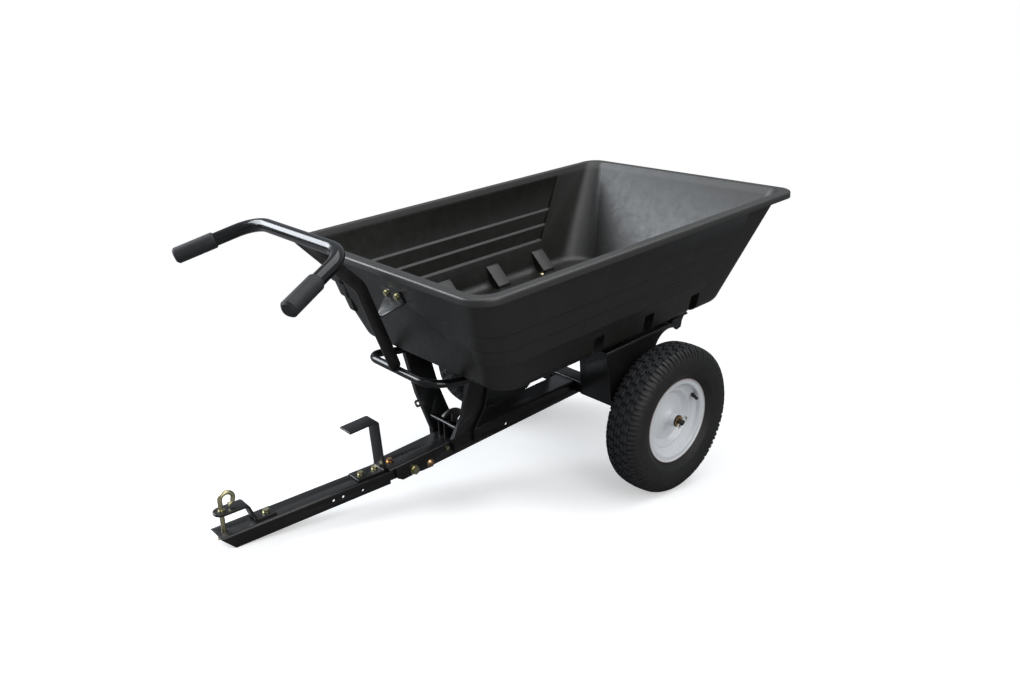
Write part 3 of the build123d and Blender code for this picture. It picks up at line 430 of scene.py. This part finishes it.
def crown(x):
    """Radius over the blocks at the axial distance x."""
    x = abs(x)
    for (a, ra), (b, rb) in zip(CROWN_TOP, CROWN_TOP[1:]):
        if x <= b:
            return ra + (rb - ra) * (x - a) / (b - a)
    return CROWN_TOP[-1][1]


def carcass_mesh(steps=120):
    """Closed ring with the carcass as its section."""
    line = list(CARCASS) + [(-x, r) for x, r in reversed(CARCASS)]
    bm = bmesh.new()
    rings = []
    for i in range(steps):
        angle = 2 * math.pi * i / steps
        rings.append([bm.verts.new((x, r * math.cos(angle), r * math.sin(angle))) for x, r in line])
    count = len(line)
    for i in range(steps):
        now, then = rings[i], rings[(i + 1) % steps]
        for j in range(count):
            k = (j + 1) % count
            bm.faces.new((now[j], now[k], then[k], then[j]))
    mesh = bpy.data.meshes.new("carcass")
    bm.to_mesh(mesh)
    bm.free()
    return mesh


def on_tyre(x, s, r):
    """Point at x across, s along the tread and the radius r."""
    angle = s / TYRE_RADIUS
    return Vector((x, r * math.sin(angle), r * math.cos(angle)))


def add_block(bm, outline, depth=6.0, edge=0.7):
    """Raised rubber block: walls down into the groove, a broken edge and a top that follows the crown."""
    cx = sum(x for x, _ in outline) / len(outline)
    cs = sum(s for _, s in outline) / len(outline)
    rings = []
    for inset, drop in ((-0.2, depth), (0.4, edge), (edge + 0.4, 0.0)):
        ring = []
        for x, s in outline:
            away = Vector((x - cx, s - cs))
            px, ps = Vector((x, s)) - away.normalized() * inset
            ring.append(bm.verts.new(on_tyre(px, ps, crown(px) - drop)))
        rings.append(ring)
    count = len(outline)
    for low, high in zip(rings, rings[1:]):
        for i in range(count):
            k = (i + 1) % count
            bm.faces.new((low[i], low[k], high[k], high[i]))
    bm.faces.new(rings[-1])


def add_lug(bm, side, s0, s1, stations, depth=4.5):
    """Shoulder lug bent over the edge of the tread and down the flank."""
    rows = []
    for x, narrow in stations:
        a, b = s0 + narrow, s1 - narrow
        r = crown(x)
        lean = depth * max(0.0, (x - 38.0) / 13.0)
        inner = side * max(x - lean, 29.0)
        corners = ((inner, a - 0.4, r - depth), (side * x, a + 0.5, r), (side * x, b - 0.5, r),
                   (inner, b + 0.4, r - depth))
        rows.append([bm.verts.new(on_tyre(*corner)) for corner in corners])
    for now, then in zip(rows, rows[1:]):
        for i in range(3):
            bm.faces.new((now[i], now[i + 1], then[i + 1], then[i]))
    bm.faces.new(rows[0])
    bm.faces.new(rows[-1])


def pitch_mesh():
    """One pitch of the turf tread: three interlocking centre blocks and a split lug on each shoulder."""
    bm = bmesh.new()
    half = PITCH / 2
    long = PITCH / LINK_PITCH
    for x0, s0, flip in ((0.0, 0.0, 1), (LINK_ROW, half, -1), (-LINK_ROW, half, -1)):
        add_block(bm, [(x0 + flip * x * 1.02, s0 + s * long) for x, s in LINK])
    end = 8.6 * long
    for side in (1, -1):
        add_lug(bm, side, -end, -LUG_GAP, LUG)
        add_lug(bm, side, LUG_GAP, end, LUG[:-1])
    mesh = bpy.data.meshes.new("tread_pitch")
    bm.to_mesh(mesh)
    bm.free()
    return mesh


def around_tree():
    """Geometry Nodes group that repeats the incoming shape around the X axis."""
    tree = bpy.data.node_groups.new("around_axle", "GeometryNodeTree")
    face = tree.interface
    face.new_socket("Geometry", in_out="INPUT", socket_type="NodeSocketGeometry")
    face.new_socket("Count", in_out="INPUT", socket_type="NodeSocketInt")
    face.new_socket("Wear", in_out="INPUT", socket_type="NodeSocketFloat")
    face.new_socket("Seed", in_out="INPUT", socket_type="NodeSocketInt")
    face.new_socket("Material", in_out="INPUT", socket_type="NodeSocketMaterial")
    face.new_socket("Geometry", in_out="OUTPUT", socket_type="NodeSocketGeometry")
    nodes, links = tree.nodes, tree.links
    enter = nodes.new("NodeGroupInput")
    leave = nodes.new("NodeGroupOutput")
    points = nodes.new("GeometryNodePoints")
    index = nodes.new("GeometryNodeInputIndex")
    step = nodes.new("ShaderNodeMath")
    step.operation = "DIVIDE"
    step.inputs[0].default_value = 2 * math.pi
    turn = nodes.new("ShaderNodeMath")
    turn.operation = "MULTIPLY"
    euler = nodes.new("ShaderNodeCombineXYZ")
    spin = nodes.new("FunctionNodeEulerToRotation")
    low = nodes.new("ShaderNodeMath")
    low.operation = "SUBTRACT"
    low.inputs[0].default_value = 1.0
    wear_and_edge_shade = nodes.new("FunctionNodeRandomValue")
    wear_and_edge_shade.data_type = "FLOAT"
    grow = nodes.new("ShaderNodeCombineXYZ")
    grow.inputs[0].default_value = 1.0
    place = nodes.new("GeometryNodeInstanceOnPoints")
    real = nodes.new("GeometryNodeRealizeInstances")
    dress = nodes.new("GeometryNodeSetMaterial")
    links.new(enter.outputs["Count"], points.inputs["Count"])
    links.new(enter.outputs["Count"], step.inputs[1])
    links.new(index.outputs[0], turn.inputs[0])
    links.new(step.outputs[0], turn.inputs[1])
    links.new(turn.outputs[0], euler.inputs[0])
    links.new(euler.outputs[0], spin.inputs[0])
    links.new(enter.outputs["Wear"], low.inputs[1])
    floats = [i for i in wear_and_edge_shade.inputs if i.type == "VALUE"]
    links.new(low.outputs[0], floats[0])
    floats[1].default_value = 1.0
    links.new(enter.outputs["Seed"], wear_and_edge_shade.inputs["Seed"])
    value = next(o for o in wear_and_edge_shade.outputs if o.type == "VALUE")
    links.new(value, grow.inputs[1])
    links.new(value, grow.inputs[2])
    links.new(points.outputs[0], place.inputs["Points"])
    links.new(enter.outputs["Geometry"], place.inputs["Instance"])
    links.new(spin.outputs[0], place.inputs["Rotation"])
    links.new(grow.outputs[0], place.inputs["Scale"])
    links.new(place.outputs[0], real.inputs[0])
    links.new(real.outputs[0], dress.inputs["Geometry"])
    links.new(enter.outputs["Material"], dress.inputs["Material"])
    links.new(dress.outputs[0], leave.inputs[0])
    return tree


AROUND = around_tree()


def repeated(mesh, count, material, wear=0.0, seed=7):
    """The mesh repeated around the X axis, as plain mesh."""
    obj = bpy.data.objects.new("temp", mesh)
    bpy.context.scene.collection.objects.link(obj)
    mod = obj.modifiers.new("around", "NODES")
    mod.node_group = AROUND
    values = {"Count": count, "Wear": wear, "Seed": seed, "Material": material}
    for item in AROUND.interface.items_tree:
        if item.in_out == "INPUT" and item.name in values:
            mod[item.identifier] = values[item.name]
    return baked(obj)


def joined(name, meshes):
    bm = bmesh.new()
    for mesh in meshes:
        bm.from_mesh(mesh)
    result = bpy.data.meshes.new(name)
    bm.to_mesh(result)
    bm.free()
    return result


for side, name in ((1, "right"), (-1, "left")):
    tread = repeated(pitch_mesh(), PITCHES, TYRE, 0.0012, 11 + side)
    tyre = joined("tyre_" + name, [carcass_mesh(), tread])
    tyre.transform(LEVEL @ move(side * TRACK_HALF, 0, 0))
    piece("turf_tyre_" + name, tyre, "wheel_" + name, TYRE, ("tyre_" + name,), 30.0)


# ------------------------------------------------------------------ stage, light, camera
def lamp(name, energy, size, at, aim, color=(1, 1, 1)):
    """Soft rectangular lamp turned towards the point aim."""
    data = bpy.data.lights.new(name, "AREA")
    data.energy = energy
    data.color = color
    data.shape = "RECTANGLE"
    data.size, data.size_y = size
    obj = bpy.data.objects.new(name, data)
    bpy.context.scene.collection.objects.link(obj)
    obj.location = at
    obj.rotation_euler = (Vector(aim) - Vector(at)).to_track_quat("-Z", "Y").to_euler()


def make_world():
    """Dim cool room light on the cart; plain white where the camera looks past it."""
    world = bpy.data.worlds.new("pale_room")
    bpy.context.scene.world = world
    world.use_nodes = True
    nodes, links = world.node_tree.nodes, world.node_tree.links
    out = nodes["World Output"]
    light = nodes["Background"]
    light.inputs["Color"].default_value = (0.86, 0.92, 1.0, 1)
    light.inputs["Strength"].default_value = 0.3
    seen = nodes.new("ShaderNodeBackground")
    seen.inputs["Color"].default_value = WHITE
    seen.inputs["Strength"].default_value = 1.0
    path = nodes.new("ShaderNodeLightPath")
    mix = nodes.new("ShaderNodeMixShader")
    links.new(path.outputs["Is Camera Ray"], mix.inputs["Fac"])
    links.new(light.outputs[0], mix.inputs[1])
    links.new(seen.outputs[0], mix.inputs[2])
    links.new(mix.outputs[0], out.inputs["Surface"])


def make_floor():
    """Pale floor; the camera sees it brighter and fading to white, the cart gets only a dim bounce."""
    mesh = bpy.data.meshes.new("floor")
    half = 9.0
    corners = [(-half, -half, 0), (half, -half, 0), (half, half, 0), (-half, half, 0)]
    mesh.from_pydata(corners, [], [(0, 1, 2, 3)])
    floor = bpy.data.objects.new("floor", mesh)
    bpy.context.scene.collection.objects.link(floor)
    s = Shade("pale_floor")
    s.color(s.ramp(s.noise(2.0), [(0.3, 0.93), (0.7, 0.95)]))
    s.rough(0.9)
    s.set(Specular_IOR_Level=0.1)
    add = s.nodes.new("ShaderNodeAddShader")
    s.links.new(s.bsdf.outputs[0], add.inputs[0])
    s.links.new(s.shader("ShaderNodeEmission", WHITE, 0.42), add.inputs[1])
    length = s.nodes.new("ShaderNodeVectorMath")
    length.operation = "LENGTH"
    s.links.new(s.coord, length.inputs[0])
    far = s.ramp(s.math("MULTIPLY", length.outputs["Value"], 0.25), [(0.16, 0.0), (0.42, 1.0)])
    looked_at = s.blend(far, add.outputs[0], s.shader("ShaderNodeEmission", WHITE, 1.0))
    bounce = s.shader("ShaderNodeBsdfDiffuse", (0.2, 0.2, 0.205, 1))
    whole = s.blend(s.seen(), bounce, looked_at)
    s.links.new(whole, s.nodes["Material Output"].inputs["Surface"])
    mesh.materials.append(s.mat)


def make_camera():
    """Camera set up in the level drawing and carried with it to the cart as it stands."""
    azimuth, elevation, roll = (math.radians(v) for v in VIEW_TURN)
    back = Vector((math.sin(azimuth) * math.cos(elevation), -math.cos(azimuth) * math.cos(elevation),
                   math.sin(elevation)))
    right0 = Vector((math.cos(azimuth), math.sin(azimuth), 0))
    up0 = back.cross(right0)
    right = right0 * math.cos(roll) + up0 * math.sin(roll)
    up = up0 * math.cos(roll) - right0 * math.sin(roll)
    turn = Matrix((right, up, back)).transposed().to_4x4()
    shot = turn_x(math.radians(VIEW_PITCH)) @ move(*VIEW_PLACE) @ turn
    data = bpy.data.cameras.new("camera")
    data.sensor_width = SENSOR
    data.lens = VIEW_LENS / PICTURE_WIDTH * SENSOR
    data.clip_end = 50.0
    cam = bpy.data.objects.new("camera", data)
    bpy.context.scene.collection.objects.link(cam)
    world = LEVEL @ shot
    cam.location = world.to_translation()
    cam.rotation_euler = world.to_3x3().normalized().to_euler()
    bpy.context.scene.camera = cam


make_world()
make_floor()
make_camera()
lamp("soft_top", 62.0, (3.4, 3.4), (0.4, 0.3, 3.2), (0, 0.1, 0.4))
lamp("soft_left", 150.0, (2.8, 2.2), (-2.7, -2.3, 1.9), (0, 0.3, 0.5), (0.9, 0.95, 1.0))
lamp("soft_right", 34.0, (2.0, 2.2), (3.0, -0.6, 1.6), (0, 0.1, 0.35), (1.0, 0.98, 0.95))
bpy.context.scene.view_settings.view_transform = "Standard"
